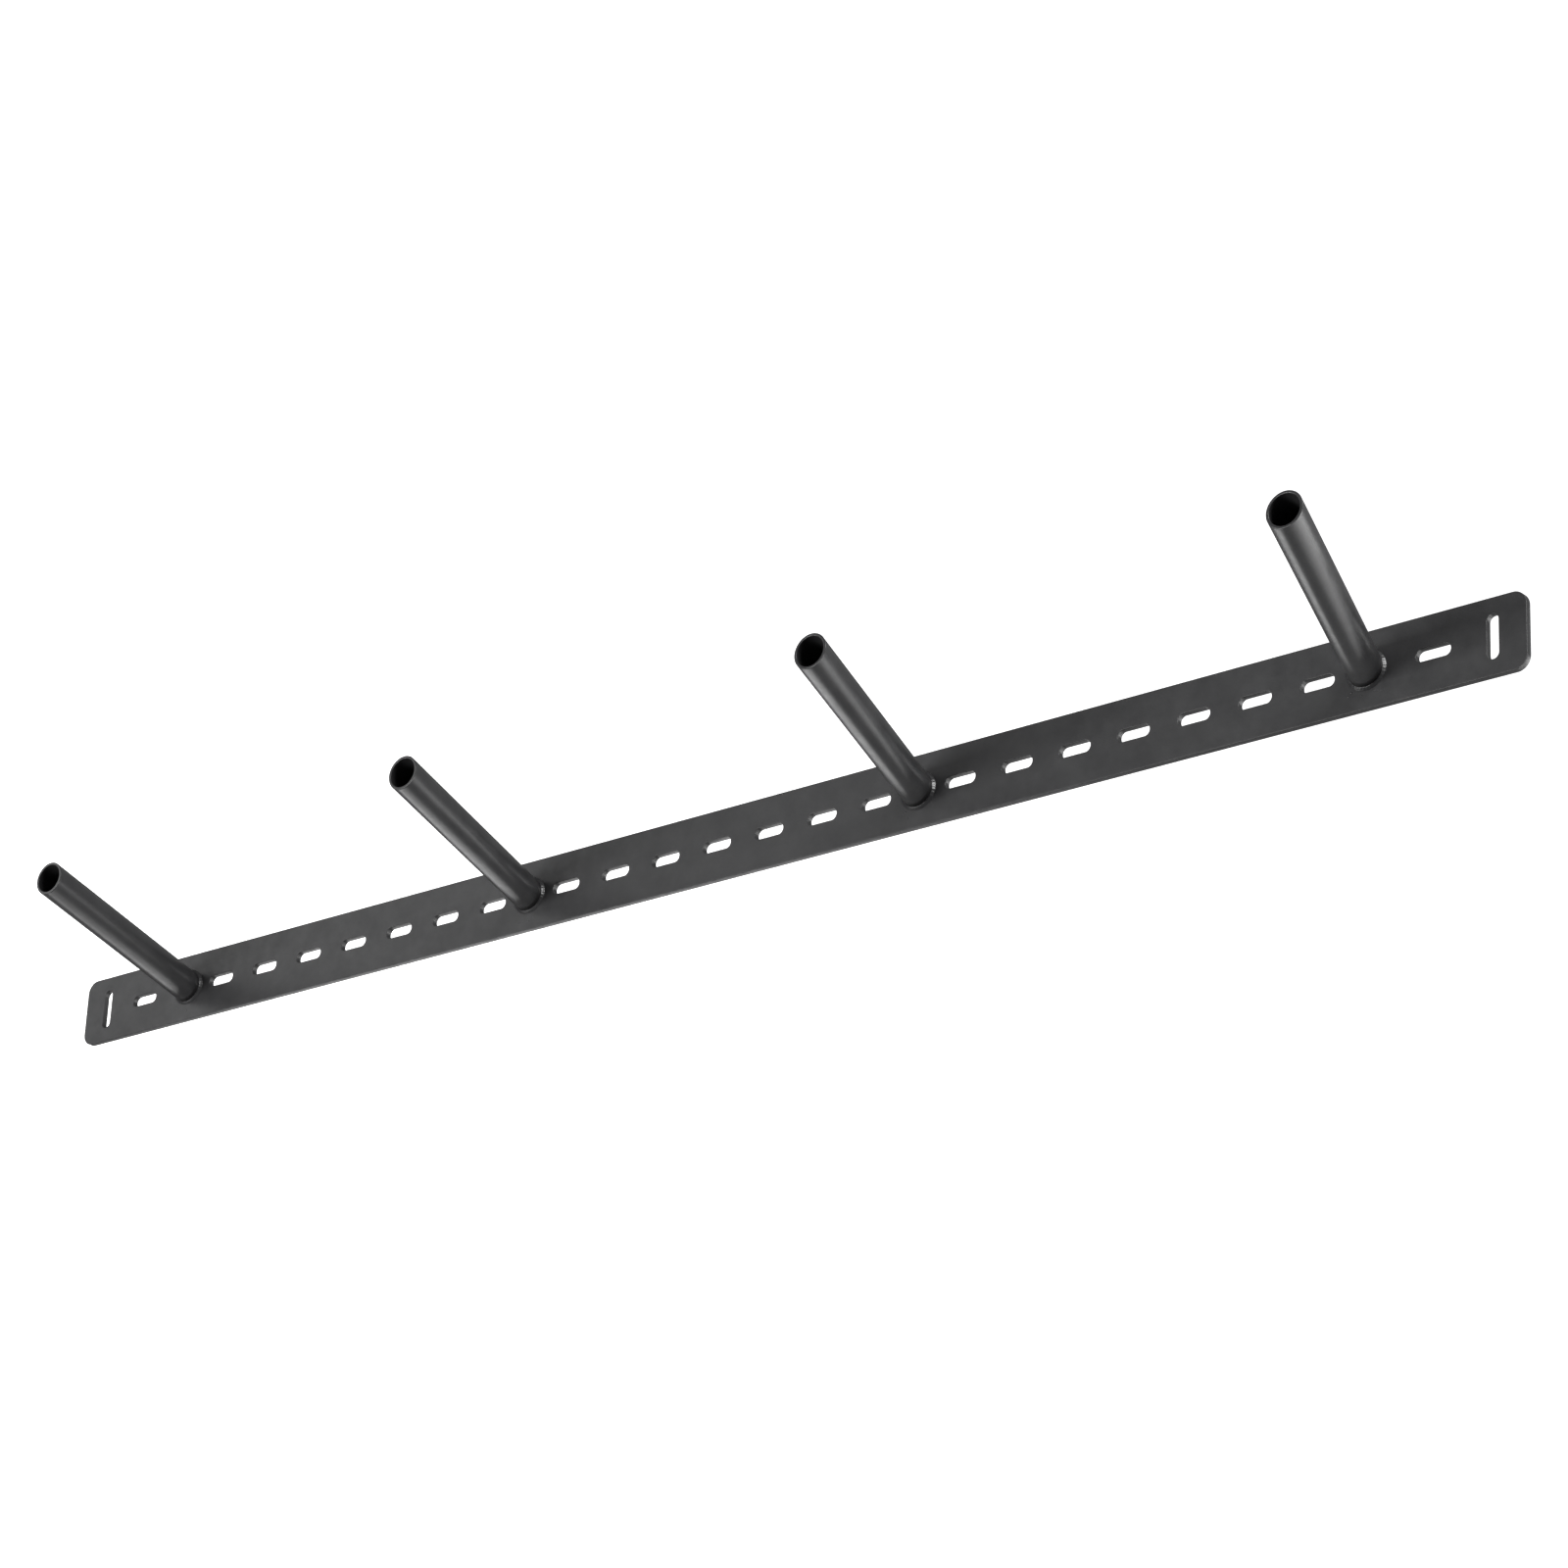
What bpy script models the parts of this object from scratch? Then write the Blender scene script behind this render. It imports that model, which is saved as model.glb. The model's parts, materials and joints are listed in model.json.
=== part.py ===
"""Wall rack: an upright slotted flat bar with four open tubes welded to its front, each angled up.

Frame: metres, +Z up along the bar, +X to the right as seen from the front. The wall is the plane y = 0,
which the bar's back face lies on, and the tubes point towards -Y. The origin is the centre of the back
face.
"""
import math

import bmesh
import bpy
from mathutils import Matrix, Vector

# ---- flat bar ----
PLATE_WIDTH = 0.055
PLATE_THICKNESS = 0.005
PLATE_CORNER_RADIUS = 0.010
END_MARGIN = 0.0255             # cross slot's centre line to the end of the bar

# ---- slots ----
SLOT_WIDTH = 0.009
LONG_SLOT_LENGTH = 0.027        # the long slots run along the bar
CROSS_SLOT_LENGTH = 0.032       # the cross slots, one at each end, run across it
SLOT_PITCH = 0.050
SLOTS_PER_BAY = 7
LONG_SLOT_FROM_ARM = 0.052      # outer arm to the long slot beyond it
CROSS_SLOT_FROM_ARM = 0.097     # outer arm to the cross slot beyond it

# ---- arms ----
ARM_COUNT = 4
ARM_SPACING = 0.376
TUBE_OUTER_RADIUS = 0.0127
TUBE_WALL = 0.0020
TUBE_REACH = 0.250              # along the tube's axis, from the bar's face to the rim
ARM_RISE = math.radians(22.0)   # each tube's angle above level

# ---- welds ----
WELD_LEG = 0.0019               # how far the bead spreads over the bar round the tube
WELD_LIP = 0.0006               # what is left of the bead where it runs out on the tube
WELD_HEIGHT = 0.0017            # how far the bead climbs along the tube

# ---- fits and facets ----
JOINT_GAP = 0.0003
CORNER_STEPS = 6
SLOT_END_STEPS = 8
TUBE_SIDES = 56
CUTTER_OVERLAP = 0.010

# ---- derived ----
ARM_Z = [(i - (ARM_COUNT - 1) / 2) * ARM_SPACING for i in range(ARM_COUNT)]
PLATE_LENGTH = 2 * (ARM_Z[-1] + CROSS_SLOT_FROM_ARM + END_MARGIN)
TUBE_AXIS = Vector((0.0, -math.cos(ARM_RISE), math.sin(ARM_RISE)))
RIM_Y = -PLATE_THICKNESS - TUBE_REACH * math.cos(ARM_RISE)
BLACK_POWDER_COAT = (0.030, 0.031, 0.033, 1.0)
BLACK_WELD_COAT = (0.026, 0.027, 0.029, 1.0)


def clear_scene():
    """Remove whatever the open file holds."""
    for obj in list(bpy.data.objects):
        bpy.data.objects.remove(obj, do_unlink=True)


def new_collection(name):
    collection = bpy.data.collections.new(name)
    bpy.context.scene.collection.children.link(collection)
    return collection


def coat_material(name, colour, roughness):
    """Powder coat: a dielectric skin, so metallic stays at zero."""
    material = bpy.data.materials.new(name)
    material.use_nodes = True
    shader = material.node_tree.nodes["Principled BSDF"]
    shader.inputs["Base Color"].default_value = colour
    shader.inputs["Roughness"].default_value = roughness
    shader.inputs["Metallic"].default_value = 0.0
    material.diffuse_color = colour
    return material


def mesh_object(name, mesh, collection):
    obj = bpy.data.objects.new(name, mesh)
    collection.objects.link(obj)
    return obj


def arc(centre_x, centre_z, radius, start, sweep, steps):
    """Points on an arc, both ends included."""
    angles = [start + sweep * i / steps for i in range(steps + 1)]
    return [(centre_x + radius * math.cos(a), centre_z + radius * math.sin(a)) for a in angles]


def rounded_rectangle(width, height, radius, steps):
    half_x = width / 2 - radius
    half_z = height / 2 - radius
    centres = [(half_x, half_z), (-half_x, half_z), (-half_x, -half_z), (half_x, -half_z)]
    points = []
    for quarter, (x, z) in enumerate(centres):
        points += arc(x, z, radius, quarter * math.pi / 2, math.pi / 2, steps)
    return points


def slot_outline(centre_z, length, width, crosswise):
    """A slot with full-round ends, centred on the bar's centre line."""
    radius = width / 2
    run = length / 2 - radius
    points = arc(run, 0, radius, -math.pi / 2, math.pi, SLOT_END_STEPS)
    points += arc(-run, 0, radius, math.pi / 2, math.pi, SLOT_END_STEPS)
    if not crosswise:
        points = [(-z, x) for x, z in points]
    return [(x, centre_z + z) for x, z in points]


def slot_layout():
    """(z, crosswise) of each slot: a bay of long slots between each two arms, two slots beyond each end."""
    slots = []
    for low, high in zip(ARM_Z, ARM_Z[1:]):
        middle = (low + high) / 2
        for i in range(SLOTS_PER_BAY):
            slots.append((middle + (i - (SLOTS_PER_BAY - 1) / 2) * SLOT_PITCH, False))
    for side in (-1, 1):
        slots.append((side * (ARM_Z[-1] + LONG_SLOT_FROM_ARM), False))
        slots.append((side * (ARM_Z[-1] + CROSS_SLOT_FROM_ARM), True))
    return slots


def add_outline(curve, points):
    spline = curve.splines.new("POLY")
    spline.points.add(len(points) - 1)
    for point, (x, z) in zip(spline.points, points):
        point.co = (x, z, 0.0, 1.0)
    spline.use_cyclic_u = True


def make_back_plate(collection):
    """The laser-cut bar: one filled outline with every slot as a hole in it."""
    curve = bpy.data.curves.new("back_plate", "CURVE")
    curve.dimensions = "2D"
    curve.fill_mode = "BOTH"
    curve.extrude = PLATE_THICKNESS / 2
    add_outline(curve, rounded_rectangle(PLATE_WIDTH, PLATE_LENGTH, PLATE_CORNER_RADIUS, CORNER_STEPS))
    for z, crosswise in slot_layout():
        length = CROSS_SLOT_LENGTH if crosswise else LONG_SLOT_LENGTH
        add_outline(curve, slot_outline(z, length, SLOT_WIDTH, crosswise))
    plate = bpy.data.objects.new("back_plate", curve)
    plate.location = (0.0, -PLATE_THICKNESS / 2, 0.0)
    plate.rotation_euler = (math.pi / 2, 0.0, 0.0)
    collection.objects.link(plate)
    curve.materials.append(coat_material("plate_coat", BLACK_POWDER_COAT, 0.48))
    return plate


def tube_solid(radius, overlap):
    """A cylinder along a tube's axis, from behind the bar's face to past the rim."""
    length = TUBE_REACH + 2 * overlap
    middle = Vector((0.0, -PLATE_THICKNESS, 0.0)) + TUBE_AXIS * TUBE_REACH / 2
    mesh = bpy.data.meshes.new("tube_solid")
    bm = bmesh.new()
    bmesh.ops.create_cone(bm, cap_ends=True, segments=TUBE_SIDES, radius1=radius, radius2=radius, depth=length)
    turn = Matrix.Rotation(math.pi / 2 - ARM_RISE, 4, "X")
    bmesh.ops.transform(bm, matrix=Matrix.Translation(middle) @ turn, verts=bm.verts)
    bm.to_mesh(mesh)
    bm.free()
    return mesh


def slab(name, near_y, far_y, reach, collection):
    """A box between two planes parallel to the bar: what lies outside it is sawn off."""
    mesh = bpy.data.meshes.new(name)
    bm = bmesh.new()
    bmesh.ops.create_cube(bm, size=1.0)
    size = Vector((reach, near_y - far_y, reach))
    bmesh.ops.scale(bm, vec=size, verts=bm.verts)
    bmesh.ops.translate(bm, vec=(0.0, (near_y + far_y) / 2, 0.0), verts=bm.verts)
    bm.to_mesh(mesh)
    bm.free()
    return as_cutter(mesh_object(name, mesh, collection))


def as_cutter(obj):
    obj.display_type = "WIRE"
    obj.hide_render = True
    return obj


def add_boolean(obj, cutter, operation):
    modifier = obj.modifiers.new(cutter.name, "BOOLEAN")
    modifier.operation = operation
    modifier.solver = "EXACT"
    modifier.object = cutter


def smooth_round_sides(mesh):
    mesh.shade_smooth()
    mesh.set_sharp_from_angle(angle=math.radians(30.0))


def make_arm_tubes(collection, cutters, parent):
    """Open tubes, bored through, both ends mitred parallel to the bar."""
    bore = as_cutter(mesh_object("bore_cutter", tube_solid(TUBE_OUTER_RADIUS - TUBE_WALL,
                                                           2 * CUTTER_OVERLAP), cutters))
    trim = slab("mitre_trim", -PLATE_THICKNESS - JOINT_GAP, RIM_Y, 4 * TUBE_REACH, cutters)
    blank = tube_solid(TUBE_OUTER_RADIUS, CUTTER_OVERLAP)
    smooth_round_sides(blank)
    blank.materials.append(coat_material("tube_coat", BLACK_POWDER_COAT, 0.42))
    for i, z in enumerate(ARM_Z):
        shift = Matrix.Translation((0.0, 0.0, z))
        tube = mesh_object(f"arm_tube_{i + 1}", blank, collection)
        tube.parent = parent
        tube.matrix_world = shift
        for cutter, operation in ((bore, "DIFFERENCE"), (trim, "INTERSECT")):
            own = cutter.copy()
            own.name = f"{cutter.name}_{i + 1}"
            own.matrix_world = shift
            cutters.objects.link(own)
            add_boolean(tube, own, operation)
    for shared in (bore, trim):
        bpy.data.objects.remove(shared)


def weld_blank():
    """A short cone frustum round the tube's foot, leaning with the tube."""
    mesh = bpy.data.meshes.new("weld_bead")
    bm = bmesh.new()
    bmesh.ops.create_cone(bm, cap_ends=True, segments=TUBE_SIDES,
                          radius1=TUBE_OUTER_RADIUS + WELD_LEG, radius2=TUBE_OUTER_RADIUS + WELD_LIP,
                          depth=WELD_HEIGHT)
    face_y = -PLATE_THICKNESS - JOINT_GAP
    stand = Matrix.Translation((0.0, face_y - WELD_HEIGHT / 2, 0.0)) @ Matrix.Rotation(math.pi / 2, 4, "X")
    lean = Matrix.Identity(4)
    lean[2][1] = -math.tan(ARM_RISE)
    lean[2][2] = 1 / math.cos(ARM_RISE)
    lean[2][3] = -PLATE_THICKNESS * math.tan(ARM_RISE)
    bmesh.ops.transform(bm, matrix=lean @ stand, verts=bm.verts)
    bm.to_mesh(mesh)
    bm.free()
    return mesh


def make_weld_beads(collection, cutters, parent):
    """Fillet beads, one round each tube's foot, just clear of the tube and the bar."""
    blank = weld_blank()
    smooth_round_sides(blank)
    blank.materials.append(coat_material("weld_coat", BLACK_WELD_COAT, 0.40))
    clearance = tube_solid(TUBE_OUTER_RADIUS + JOINT_GAP, CUTTER_OVERLAP)
    for i, z in enumerate(ARM_Z):
        shift = Matrix.Translation((0.0, 0.0, z))
        cutter = as_cutter(mesh_object(f"weld_clearance_{i + 1}", clearance, cutters))
        cutter.matrix_world = shift
        bead = mesh_object(f"weld_bead_{i + 1}", blank, collection)
        bead.parent = parent
        bead.matrix_world = shift
        add_boolean(bead, cutter, "DIFFERENCE")


def main():
    clear_scene()
    rack = new_collection("wall_rack")
    cutters = new_collection("cutters")
    root = bpy.data.objects.new("wall_rack_root", None)
    rack.objects.link(root)
    plate = make_back_plate(rack)
    plate.parent = root
    make_arm_tubes(rack, cutters, root)
    make_weld_beads(rack, cutters, root)


main()
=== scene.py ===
"""Looks of the wall rack: an upright slotted flat bar with four open tubes welded to it, powder coated.

Frame: metres, +Z up along the bar, +X to the right seen from the front. The wall is the plane y = 0
behind the bar, and the tubes point towards -Y and upwards.
"""

import json
import math
import random

import bmesh
import bpy
from mathutils import Matrix, Vector, noise


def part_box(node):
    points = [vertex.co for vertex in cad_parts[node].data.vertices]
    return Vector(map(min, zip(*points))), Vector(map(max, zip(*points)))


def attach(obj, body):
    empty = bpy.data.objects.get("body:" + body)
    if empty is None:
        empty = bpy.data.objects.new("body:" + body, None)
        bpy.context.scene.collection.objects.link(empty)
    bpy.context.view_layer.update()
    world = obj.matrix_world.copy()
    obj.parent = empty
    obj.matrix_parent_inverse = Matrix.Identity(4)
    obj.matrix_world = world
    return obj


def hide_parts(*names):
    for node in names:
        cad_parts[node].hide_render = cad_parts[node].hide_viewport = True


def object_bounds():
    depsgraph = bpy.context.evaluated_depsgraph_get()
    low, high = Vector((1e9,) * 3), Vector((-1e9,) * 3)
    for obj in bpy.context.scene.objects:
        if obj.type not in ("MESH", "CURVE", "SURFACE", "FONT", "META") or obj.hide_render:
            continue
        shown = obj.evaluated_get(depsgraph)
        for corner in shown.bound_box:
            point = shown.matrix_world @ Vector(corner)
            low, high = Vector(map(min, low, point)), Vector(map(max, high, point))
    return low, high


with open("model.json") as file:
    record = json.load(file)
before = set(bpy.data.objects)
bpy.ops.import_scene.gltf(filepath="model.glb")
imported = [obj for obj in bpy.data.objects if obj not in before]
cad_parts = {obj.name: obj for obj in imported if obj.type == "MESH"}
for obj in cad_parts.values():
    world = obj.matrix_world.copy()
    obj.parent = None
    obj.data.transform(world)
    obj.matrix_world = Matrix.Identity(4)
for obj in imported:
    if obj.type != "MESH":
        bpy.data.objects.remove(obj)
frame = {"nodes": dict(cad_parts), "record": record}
cad_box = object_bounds()

# ---- the bar ----
CORNER_RADIUS = 0.010
SLOT_WIDTH = 0.009
LONG_SLOT_LENGTH = 0.027
CROSS_SLOT_LENGTH = 0.032
CUT_EDGE_RADIUS = 0.0003        # the coating rounds every cut edge
CUT_EDGE_STEPS = 4
SUPPORT_INSET = 0.0010          # a ring in the flat face that keeps the face's shading flat
CORNER_STEPS = 14
SLOT_END_STEPS = 14

# ---- the tubes ----
ARM_RISE = math.radians(22.0)
TUBE_WALL = 0.0020
TUBE_SIDES = 144
TUBE_STATIONS = 24
RIM_RADIUS = 0.0005
RIM_STEPS = 4

# ---- the welds ----
WELD_LEG = 0.0019
WELD_HEIGHT = 0.0017
WELD_ACUTE_GAIN = 0.0005        # extra bead in the narrow corner above the tube
WELD_BULGE = 0.0002
WELD_HOLLOW = 0.10              # how far the bead sinks between its toes, as a share of its size
WELD_RIPPLES = 34
RIPPLE_DEPTH = 0.00010
RIPPLE_MEAN = 0.6               # the part of a ripple that leaves the bead's size alone
RIPPLE_SHARPNESS = 0.7
CROWN_SHARPNESS = 0.8
DRIFT_PACE = 1.7                # how often the bead's size wanders round the tube
DRIFT_STEP = 5.3                # sets the wander of one bead apart from the next
LEG_DRIFT = 0.16                # how strongly the wander acts on each measure
HEIGHT_DRIFT = 0.12
RIPPLE_DRIFT = 0.35
WELD_SIDES = 272
WELD_STEPS = 12

# ---- spatter: droplets thrown on the bar beside each weld ----
SPATTER_SEED = 11
SPATTER_COUNT = 4
TOP_SPATTER_COUNT = 9
SPATTER_ARC = (-0.95, 1.15)     # radians, measured from the tube's right
SPATTER_CLEAR = (0.0012, 0.0085)  # from the bead's toe
DROPLET_RADIUS = (0.0003, 0.0007)
DROPLET_FLATNESS = 0.45

# ---- powder coat: tone and roughness wander between two values ----
BAR_DARK = (0.018, 0.018, 0.019, 1.0)
BAR_LIGHT = (0.030, 0.030, 0.031, 1.0)
ARM_DARK = (0.020, 0.020, 0.021, 1.0)
ARM_LIGHT = (0.030, 0.030, 0.031, 1.0)
WELD_DARK = (0.016, 0.016, 0.017, 1.0)
WELD_LIGHT = (0.026, 0.026, 0.027, 1.0)
BAR_ROUGHNESS = (0.40, 0.50)
ARM_ROUGHNESS = (0.30, 0.36)
WELD_ROUGHNESS = (0.28, 0.40)
BAR_GRAIN = 0.000012
ARM_GRAIN = 0.000010
TONE_RANGE = (0.30, 0.72)       # noise levels that give the dark and the light tone
GLOSS_RANGE = (0.3, 0.7)        # noise levels that give the two roughnesses
TONE_SCALE = 38.0
GLOSS_SCALE = 130.0
SWAY_SCALE = 26.0
PEEL_SCALE = 320.0
GRAIN_SCALE = 1500.0
SWAY_DEPTH = 0.00022            # slow waviness of the coat
PEEL_DEPTH = 0.00004            # orange peel

# ---- camera ----
CAMERA_PLACE = Vector((1.2147, -2.3252, 2.0849))
CAMERA_AZIMUTH = math.radians(28.288)
CAMERA_ELEVATION = math.radians(-37.508)
CAMERA_ROLL = math.radians(74.531)
CAMERA_LENS = 105.023
SENSOR_WIDTH = 36.0

# ---- stage ----
FLOOR_DROP = 0.6                # the floor lies this far below the bar's lower end
FLOOR_SIZE = 30.0
STUDIO_LIGHT = 0.20             # even light from the white room
SOFTBOX_SIZE = 1.0
SOFTBOX_DISTANCE = 2.2          # from the middle of the rack
SOFTBOXES = [                   # name, degrees round from the front to the right, degrees up, power
    ("front", 15, -15, 45),
    ("low_front", 30, -45, 20),
    ("low_front_left", -30, -55, 5),
    ("top_left", -60, 60, 50),
    ("high_back", 170, 40, 22),
    ("behind", 170, 12, 5),
    ("right_back", 120, 30, 25),
    ("low_back", 160, -42, 7),
]


# ---------------------------------------------------------------- sizes read from the frame
BAR_LOW, BAR_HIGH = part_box("back_plate")
ARM_NODES = sorted(n for n in frame["nodes"] if n.startswith("arm_tube_"))
WELD_NODES = sorted(n for n in frame["nodes"] if n.startswith("weld_bead_"))
FACE_Y = BAR_LOW.y


def arm_place(node):
    """(z where the tube's centre line meets the bar, outer radius, y of the rim)."""
    low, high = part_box(node)
    outer = (high.x - low.x) / 2
    rise = (FACE_Y - low.y) * math.tan(ARM_RISE)
    return high.z - rise - outer / math.cos(ARM_RISE), outer, low.y


def slot_places():
    """(z, crosswise) of every slot, from the openings that the record states."""
    slots = []
    for opening in frame["record"]["physics"]["openings"]:
        if "slot" in opening["name"]:
            low, high = opening["box_m"]
            slots.append(((low[2] + high[2]) / 2, high[0] - low[0] > high[2] - low[2]))
    return slots


# ---------------------------------------------------------------- mesh helpers
def finish_mesh(name, bm, material, node):
    """Turns bm into a shown piece that stands for one CAD node."""
    bmesh.ops.recalc_face_normals(bm, faces=bm.faces)
    mesh = bpy.data.meshes.new(name)
    bm.to_mesh(mesh)
    bm.free()
    mesh.shade_smooth()
    mesh.materials.append(material)
    piece = bpy.data.objects.new(name, mesh)
    bpy.context.scene.collection.objects.link(piece)
    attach(piece, "root")
    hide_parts(node)
    return piece


def loft(bm, rings, closed_path=False):
    """Joins closed rings of points, all of one length, with quads. Returns the vertices, ring by ring."""
    made = [[bm.verts.new(p) for p in ring] for ring in rings]
    pairs = list(zip(made, made[1:]))
    if closed_path:
        pairs.append((made[-1], made[0]))
    for near, far in pairs:
        for i in range(len(near)):
            j = (i + 1) % len(near)
            bm.faces.new((near[i], near[j], far[j], far[i]))
    return made


def arc(centre_x, centre_z, radius, start, sweep, steps):
    angles = [start + sweep * i / steps for i in range(steps + 1)]
    return [(centre_x + radius * math.cos(a), centre_z + radius * math.sin(a)) for a in angles]


# ---------------------------------------------------------------- the bar
def bar_outline(inset):
    """The bar's outer outline, moved in by inset."""
    half_x = (BAR_HIGH.x - BAR_LOW.x) / 2 - CORNER_RADIUS
    half_z = (BAR_HIGH.z - BAR_LOW.z) / 2 - CORNER_RADIUS
    centres = [(half_x, half_z), (-half_x, half_z), (-half_x, -half_z), (half_x, -half_z)]
    points = []
    for quarter, (x, z) in enumerate(centres):
        points += arc(x, z, CORNER_RADIUS - inset, quarter * math.pi / 2, math.pi / 2, CORNER_STEPS)
    return points


def slot_outline(centre_z, crosswise, inset):
    """A slot's outline, moved out into the bar by inset."""
    length = CROSS_SLOT_LENGTH if crosswise else LONG_SLOT_LENGTH
    radius = SLOT_WIDTH / 2 + inset
    run = (length - SLOT_WIDTH) / 2
    points = arc(run, 0, radius, -math.pi / 2, math.pi, SLOT_END_STEPS)
    points += arc(-run, 0, radius, math.pi / 2, math.pi, SLOT_END_STEPS)
    if not crosswise:
        points = [(-z, x) for x, z in points]
    return [(x, centre_z + z) for x, z in points]


def cut_edge_profile():
    """(inset, y) from the front face round the softened cut edge to the back face."""
    quarter = [i / CUT_EDGE_STEPS * math.pi / 2 for i in range(CUT_EDGE_STEPS + 1)]
    r = CUT_EDGE_RADIUS
    front = [(r - r * math.sin(a), FACE_Y + r - r * math.cos(a)) for a in quarter]
    back = [(inset, BAR_HIGH.y + FACE_Y - y) for inset, y in reversed(front)]
    return [(SUPPORT_INSET, FACE_Y)] + front + back + [(SUPPORT_INSET, BAR_HIGH.y)]


def build_bar(material):
    bm = bmesh.new()
    outlines = [bar_outline]
    for centre_z, crosswise in slot_places():
        outlines.append(lambda inset, z=centre_z, c=crosswise: slot_outline(z, c, inset))
    faces = {0: [], -1: []}
    for outline in outlines:
        rings = [[(x, y, z) for x, z in outline(inset)] for inset, y in cut_edge_profile()]
        made = loft(bm, rings)
        for end in faces:
            ring = made[end]
            faces[end] += [bm.edges.get((ring[i - 1], ring[i])) for i in range(len(ring))]
    for edges in faces.values():
        bmesh.ops.triangle_fill(bm, use_beauty=True, edges=edges)
    return finish_mesh("bar_coated", bm, material, "back_plate")


# ---------------------------------------------------------------- the tubes
def foot_ring(foot_z, y, radius, sides):
    """The tube's section in the plane y: an ellipse, because the tube leans."""
    centre_z = foot_z + (FACE_Y - y) * math.tan(ARM_RISE)
    angles = [2 * math.pi * i / sides for i in range(sides)]
    tall = radius / math.cos(ARM_RISE)
    return [(radius * math.cos(a), y, centre_z + tall * math.sin(a)) for a in angles]


def rim_profile(outer, rim_y):
    """(radius, y) over the sawn rim, from the outer wall to the bore, both corners rounded."""
    quarter = [i / RIM_STEPS * math.pi / 2 for i in range(RIM_STEPS + 1)]
    r = RIM_RADIUS
    bore = outer - TUBE_WALL
    outside = [(outer - r + r * math.cos(a), rim_y + r - r * math.sin(a)) for a in quarter]
    inside = [(bore + r - r * math.cos(a), rim_y + r - r * math.sin(a)) for a in reversed(quarter)]
    middle = [(bore + TUBE_WALL / 2, rim_y)]
    return outside + middle + inside


def build_tube(node, material):
    foot_z, outer, rim_y = arm_place(node)
    bore = outer - TUBE_WALL
    stations = [i / TUBE_STATIONS for i in range(TUBE_STATIONS)]
    front = rim_y + 2 * RIM_RADIUS
    wall = [(outer, FACE_Y + (front - FACE_Y) * s) for s in stations] + [(outer, front)]
    inner = [(bore, front)] + [(bore, FACE_Y + (front - FACE_Y) * s) for s in reversed(stations)]
    bm = bmesh.new()
    profile = wall + rim_profile(outer, rim_y) + inner
    loft(bm, [foot_ring(foot_z, y, radius, TUBE_SIDES) for radius, y in profile], closed_path=True)
    return finish_mesh(node.replace("arm_tube", "arm_coated"), bm, material, node)


# ---------------------------------------------------------------- the welds
def weld_swell(angle, wander):
    """Ripples of the laid bead: each one a small overlapping scale, and a slow wander in its width."""
    phase = (angle / (2 * math.pi) * WELD_RIPPLES + wander) % 1.0
    scale = math.sin(math.pi * phase) ** RIPPLE_SHARPNESS
    return (scale - RIPPLE_MEAN) * RIPPLE_DEPTH


def weld_point(foot_z, outer, angle, t, seed):
    """One point of the bead: t runs from its toe on the bar (0) to its toe on the tube (1)."""
    around = Vector((math.cos(angle) * DRIFT_PACE, math.sin(angle) * DRIFT_PACE, seed * DRIFT_STEP))
    drift = noise.noise(around)
    above = max(0.0, math.sin(angle)) ** 2
    leg = WELD_LEG * (1 + LEG_DRIFT * drift) + WELD_ACUTE_GAIN * above
    height = WELD_HEIGHT * (1 + HEIGHT_DRIFT * drift) + WELD_ACUTE_GAIN * above
    swell = WELD_BULGE + weld_swell(angle, RIPPLE_DRIFT * drift)
    lift = math.sin(math.pi * t) ** CROWN_SHARPNESS * swell
    away = leg * (1 - t) + lift
    off = height * t + lift
    away -= WELD_HOLLOW * leg * math.sin(math.pi * t)
    off -= WELD_HOLLOW * height * math.sin(math.pi * t)
    y = FACE_Y - off
    centre_z = foot_z + off * math.tan(ARM_RISE)
    radius = outer + away
    return (radius * math.cos(angle), y, centre_z + radius / math.cos(ARM_RISE) * math.sin(angle))


def add_droplet(bm, place, radius):
    """A speck of spatter on the bar: a low dome."""
    made = bmesh.ops.create_icosphere(bm, subdivisions=3, radius=radius)
    squeeze = Matrix.Diagonal((1.0, DROPLET_FLATNESS, 1.0, 1.0))
    bmesh.ops.transform(bm, matrix=Matrix.Translation(place) @ squeeze, verts=made["verts"])


def add_spatter(bm, foot_z, outer, seed, count):
    """Droplets thrown on the bar, mostly to the right of the tube where the torch stood."""
    draw = random.Random(SPATTER_SEED + seed)
    for _ in range(count):
        angle = draw.uniform(*SPATTER_ARC)
        reach = outer + WELD_LEG + draw.uniform(*SPATTER_CLEAR)
        place = Vector((reach * math.cos(angle), FACE_Y, foot_z + reach * math.sin(angle)))
        add_droplet(bm, place, draw.uniform(*DROPLET_RADIUS))


def build_weld(index, weld_node, arm_node, material):
    foot_z, outer, _ = arm_place(arm_node)
    bm = bmesh.new()
    sides = [2 * math.pi * i / WELD_SIDES for i in range(WELD_SIDES)]
    steps = [i / WELD_STEPS for i in range(WELD_STEPS + 1)]
    rings = [[weld_point(foot_z, outer, a, t, index) for a in sides] for t in steps]
    rings.append(foot_ring(foot_z, FACE_Y - WELD_HEIGHT, outer - TUBE_WALL / 2, WELD_SIDES))
    rings.append(foot_ring(foot_z, FACE_Y, outer - TUBE_WALL / 2, WELD_SIDES))
    loft(bm, rings, closed_path=True)
    on_top = index == len(WELD_NODES) - 1
    add_spatter(bm, foot_z, outer, index, TOP_SPATTER_COUNT if on_top else SPATTER_COUNT)
    return finish_mesh(weld_node.replace("weld_bead", "weld_coated"), bm, material, weld_node)


# ---------------------------------------------------------------- powder coat
def new_node(tree, kind, **settings):
    node = tree.nodes.new(kind)
    for key, value in settings.items():
        if key in node.inputs:
            node.inputs[key].default_value = value
        else:
            setattr(node, key, value)
    return node


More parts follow.
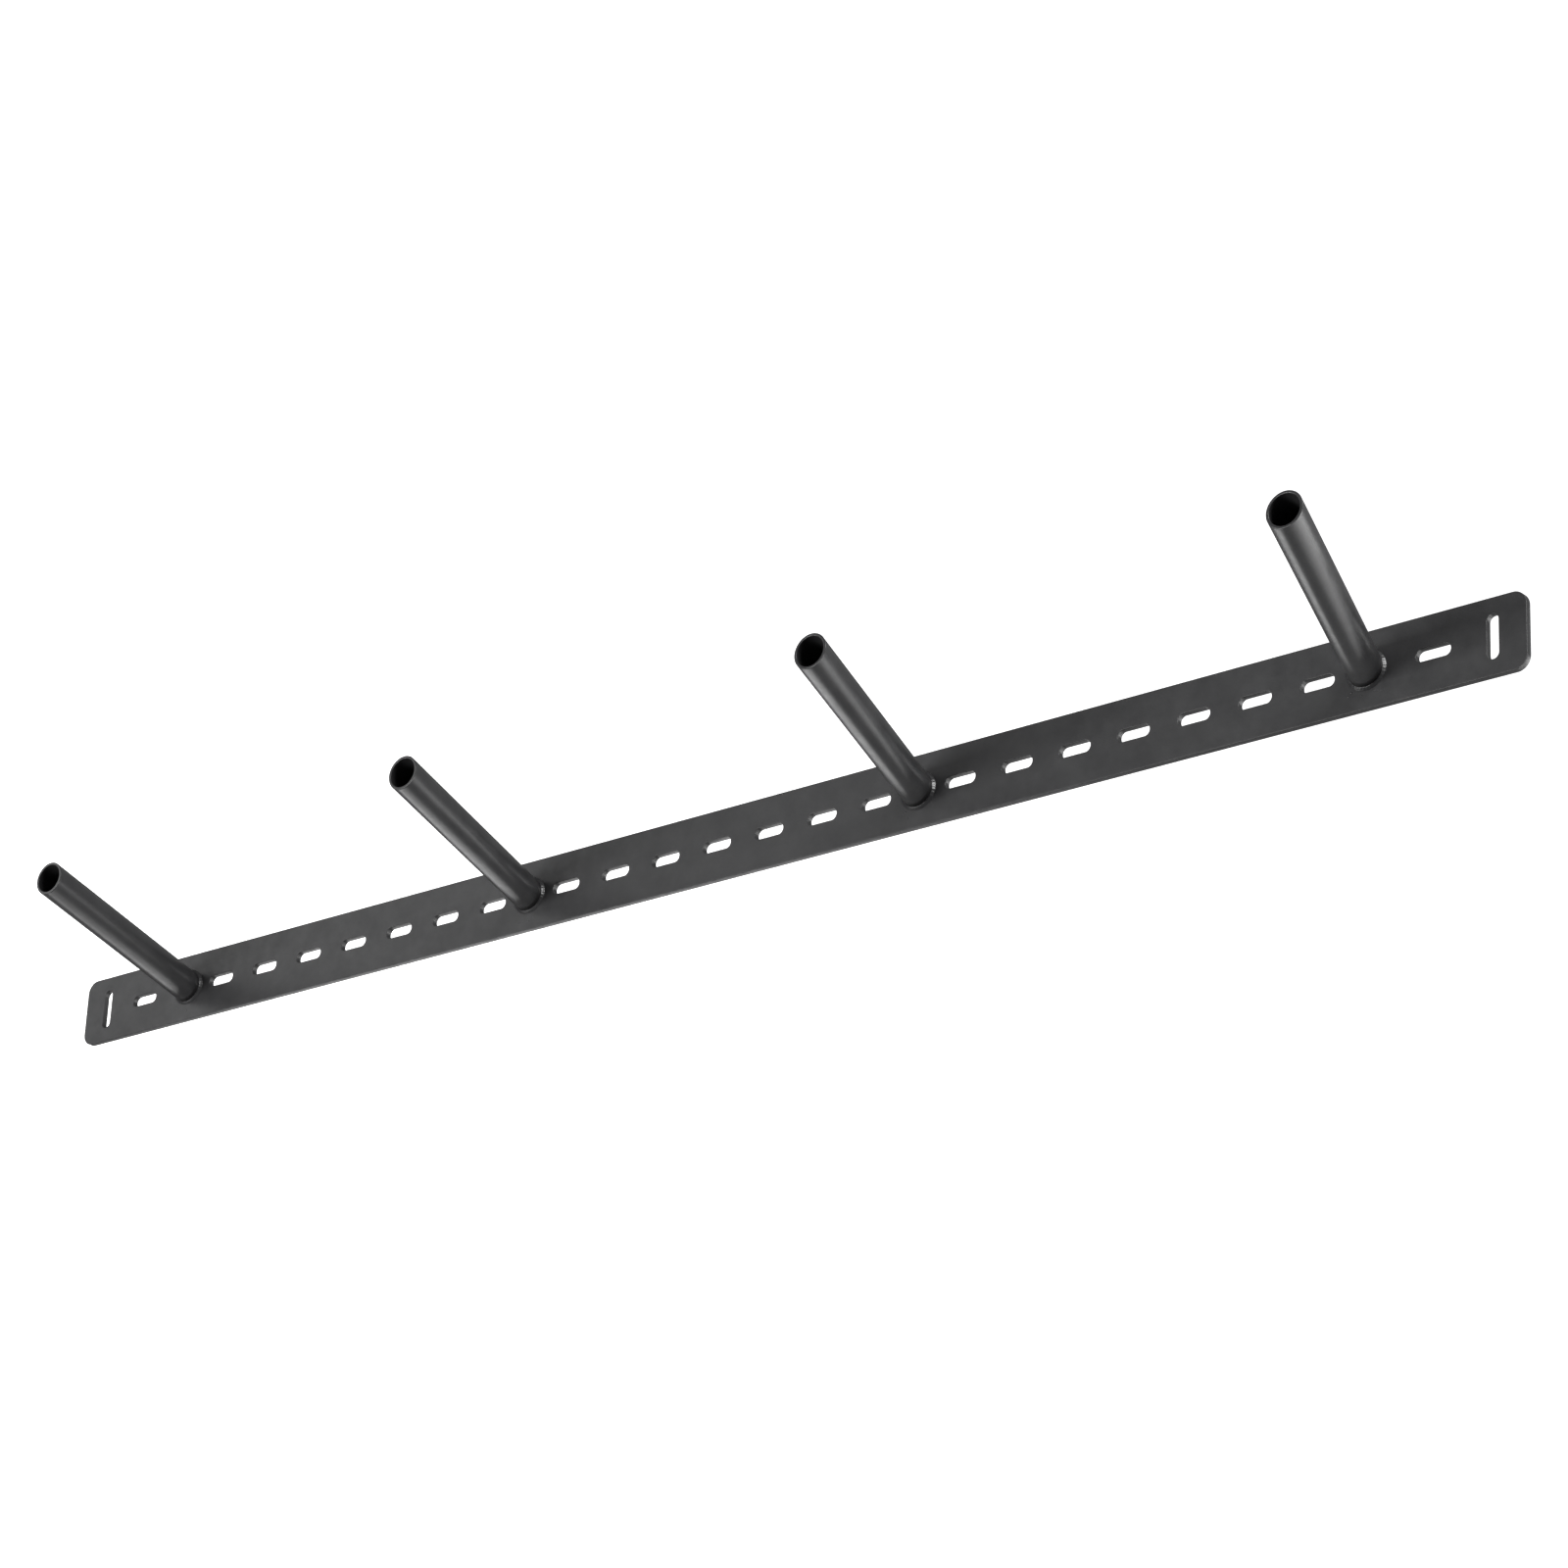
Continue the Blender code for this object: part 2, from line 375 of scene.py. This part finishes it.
def powder_coat(name, dark, light, roughness, grain):
    """Satin black powder coat: a fine grain, slow changes of gloss and tone, and a slight waviness."""
    material = bpy.data.materials.new(name)
    material.use_nodes = True
    tree = material.node_tree
    shader = tree.nodes["Principled BSDF"]
    shader.inputs["Metallic"].default_value = 0.0
    shader.inputs["IOR"].default_value = 1.5
    place = new_node(tree, "ShaderNodeTexCoord")

    def noise_at(scale, detail, crispness):
        node = new_node(tree, "ShaderNodeTexNoise", Scale=scale, Detail=detail, Roughness=crispness)
        tree.links.new(place.outputs["Object"], node.inputs["Vector"])
        return node

    cloud = noise_at(TONE_SCALE, 4.0, 0.55)
    tone = new_node(tree, "ShaderNodeValToRGB")
    tone.color_ramp.elements[0].position = TONE_RANGE[0]
    tone.color_ramp.elements[0].color = dark
    tone.color_ramp.elements[1].position = TONE_RANGE[1]
    tone.color_ramp.elements[1].color = light
    tree.links.new(cloud.outputs["Fac"], tone.inputs["Fac"])
    tree.links.new(tone.outputs["Color"], shader.inputs["Base Color"])

    smear = noise_at(GLOSS_SCALE, 5.0, 0.6)
    gloss = new_node(tree, "ShaderNodeMapRange")
    gloss.inputs["From Min"].default_value = GLOSS_RANGE[0]
    gloss.inputs["From Max"].default_value = GLOSS_RANGE[1]
    gloss.inputs["To Min"].default_value = roughness[0]
    gloss.inputs["To Max"].default_value = roughness[1]
    tree.links.new(smear.outputs["Fac"], gloss.inputs["Value"])
    tree.links.new(gloss.outputs["Result"], shader.inputs["Roughness"])

    fine = noise_at(GRAIN_SCALE, 2.0, 0.5)
    peel = noise_at(PEEL_SCALE, 2.0, 0.5)
    sway = noise_at(SWAY_SCALE, 1.0, 0.5)
    last = None
    for texture, depth in ((sway, SWAY_DEPTH), (peel, PEEL_DEPTH), (fine, grain)):
        bump = new_node(tree, "ShaderNodeBump", Strength=1.0, Distance=depth)
        tree.links.new(texture.outputs["Fac"], bump.inputs["Height"])
        if last is not None:
            tree.links.new(last.outputs["Normal"], bump.inputs["Normal"])
        last = bump
    tree.links.new(last.outputs["Normal"], shader.inputs["Normal"])
    return material


# ---------------------------------------------------------------- studio
def add_camera():
    data = bpy.data.cameras.new("view_camera")
    data.lens = CAMERA_LENS
    data.sensor_width = SENSOR_WIDTH
    camera = bpy.data.objects.new("view_camera", data)
    bpy.context.scene.collection.objects.link(camera)
    turn = Matrix.Rotation(CAMERA_AZIMUTH, 4, "Z")
    tilt = Matrix.Rotation(math.pi / 2 + CAMERA_ELEVATION, 4, "X")
    roll = Matrix.Rotation(CAMERA_ROLL, 4, "Z")
    camera.matrix_world = Matrix.Translation(CAMERA_PLACE) @ turn @ tilt @ roll
    bpy.context.scene.camera = camera


def add_softbox(name, azimuth, elevation, power):
    """A square soft light that faces the middle of the rack."""
    round_angle = math.radians(azimuth)
    up_angle = math.radians(elevation)
    level = math.cos(up_angle)
    away = Vector((math.sin(round_angle) * level, -math.cos(round_angle) * level, math.sin(up_angle)))
    data = bpy.data.lights.new(name, "AREA")
    data.shape = "SQUARE"
    data.size = SOFTBOX_SIZE
    data.energy = power
    light = bpy.data.objects.new(name, data)
    light.location = (cad_box[0] + cad_box[1]) / 2 + away * SOFTBOX_DISTANCE
    light.rotation_euler = away.to_track_quat("Z", "Y").to_euler()
    light.visible_camera = False
    bpy.context.scene.collection.objects.link(light)


def add_floor():
    """An evenly white floor: it glows, so nothing on it looks darker, and it sheds no light on the rack."""
    mesh = bpy.data.meshes.new("floor")
    bm = bmesh.new()
    bmesh.ops.create_grid(bm, x_segments=1, y_segments=1, size=FLOOR_SIZE / 2)
    bm.to_mesh(mesh)
    bm.free()
    material = bpy.data.materials.new("pale_floor")
    material.use_nodes = True
    shader = material.node_tree.nodes["Principled BSDF"]
    shader.inputs["Base Color"].default_value = (0.86, 0.86, 0.86, 1.0)
    shader.inputs["Roughness"].default_value = 0.9
    shader.inputs["Emission Color"].default_value = (1.0, 1.0, 1.0, 1.0)
    shader.inputs["Emission Strength"].default_value = 1.0
    mesh.materials.append(material)
    floor = bpy.data.objects.new("floor", mesh)
    floor.location = (0.0, 0.0, BAR_LOW.z - FLOOR_DROP)
    floor.visible_diffuse = False
    floor.visible_glossy = False
    bpy.context.scene.collection.objects.link(floor)


def add_world(ambient):
    """White to the camera, and an even grey as light."""
    world = bpy.data.worlds.new("studio")
    bpy.context.scene.world = world
    world.use_nodes = True
    tree = world.node_tree
    light = tree.nodes["Background"]
    light.inputs["Color"].default_value = (1.0, 1.0, 1.0, 1.0)
    light.inputs["Strength"].default_value = ambient
    seen = new_node(tree, "ShaderNodeBackground", Strength=1.0)
    seen.inputs["Color"].default_value = (1.0, 1.0, 1.0, 1.0)
    ray = new_node(tree, "ShaderNodeLightPath")
    mix = new_node(tree, "ShaderNodeMixShader")
    tree.links.new(ray.outputs["Is Camera Ray"], mix.inputs["Fac"])
    tree.links.new(light.outputs["Background"], mix.inputs[1])
    tree.links.new(seen.outputs["Background"], mix.inputs[2])
    tree.links.new(mix.outputs["Shader"], tree.nodes["World Output"].inputs["Surface"])


def build():
    bar_coat = powder_coat("bar_powder_coat", BAR_DARK, BAR_LIGHT, BAR_ROUGHNESS, BAR_GRAIN)
    arm_coat = powder_coat("arm_powder_coat", ARM_DARK, ARM_LIGHT, ARM_ROUGHNESS, ARM_GRAIN)
    weld_coat = powder_coat("weld_powder_coat", WELD_DARK, WELD_LIGHT, WELD_ROUGHNESS, ARM_GRAIN)
    build_bar(bar_coat)
    for node in ARM_NODES:
        build_tube(node, arm_coat)
    for index, (weld_node, arm_node) in enumerate(zip(WELD_NODES, ARM_NODES)):
        build_weld(index, weld_node, arm_node, weld_coat)


def light_studio():
    add_camera()
    add_floor()
    add_world(STUDIO_LIGHT)
    for name, azimuth, elevation, power in SOFTBOXES:
        add_softbox(name, azimuth, elevation, power)


build()
light_studio()
bpy.context.scene.view_settings.view_transform = "Standard"
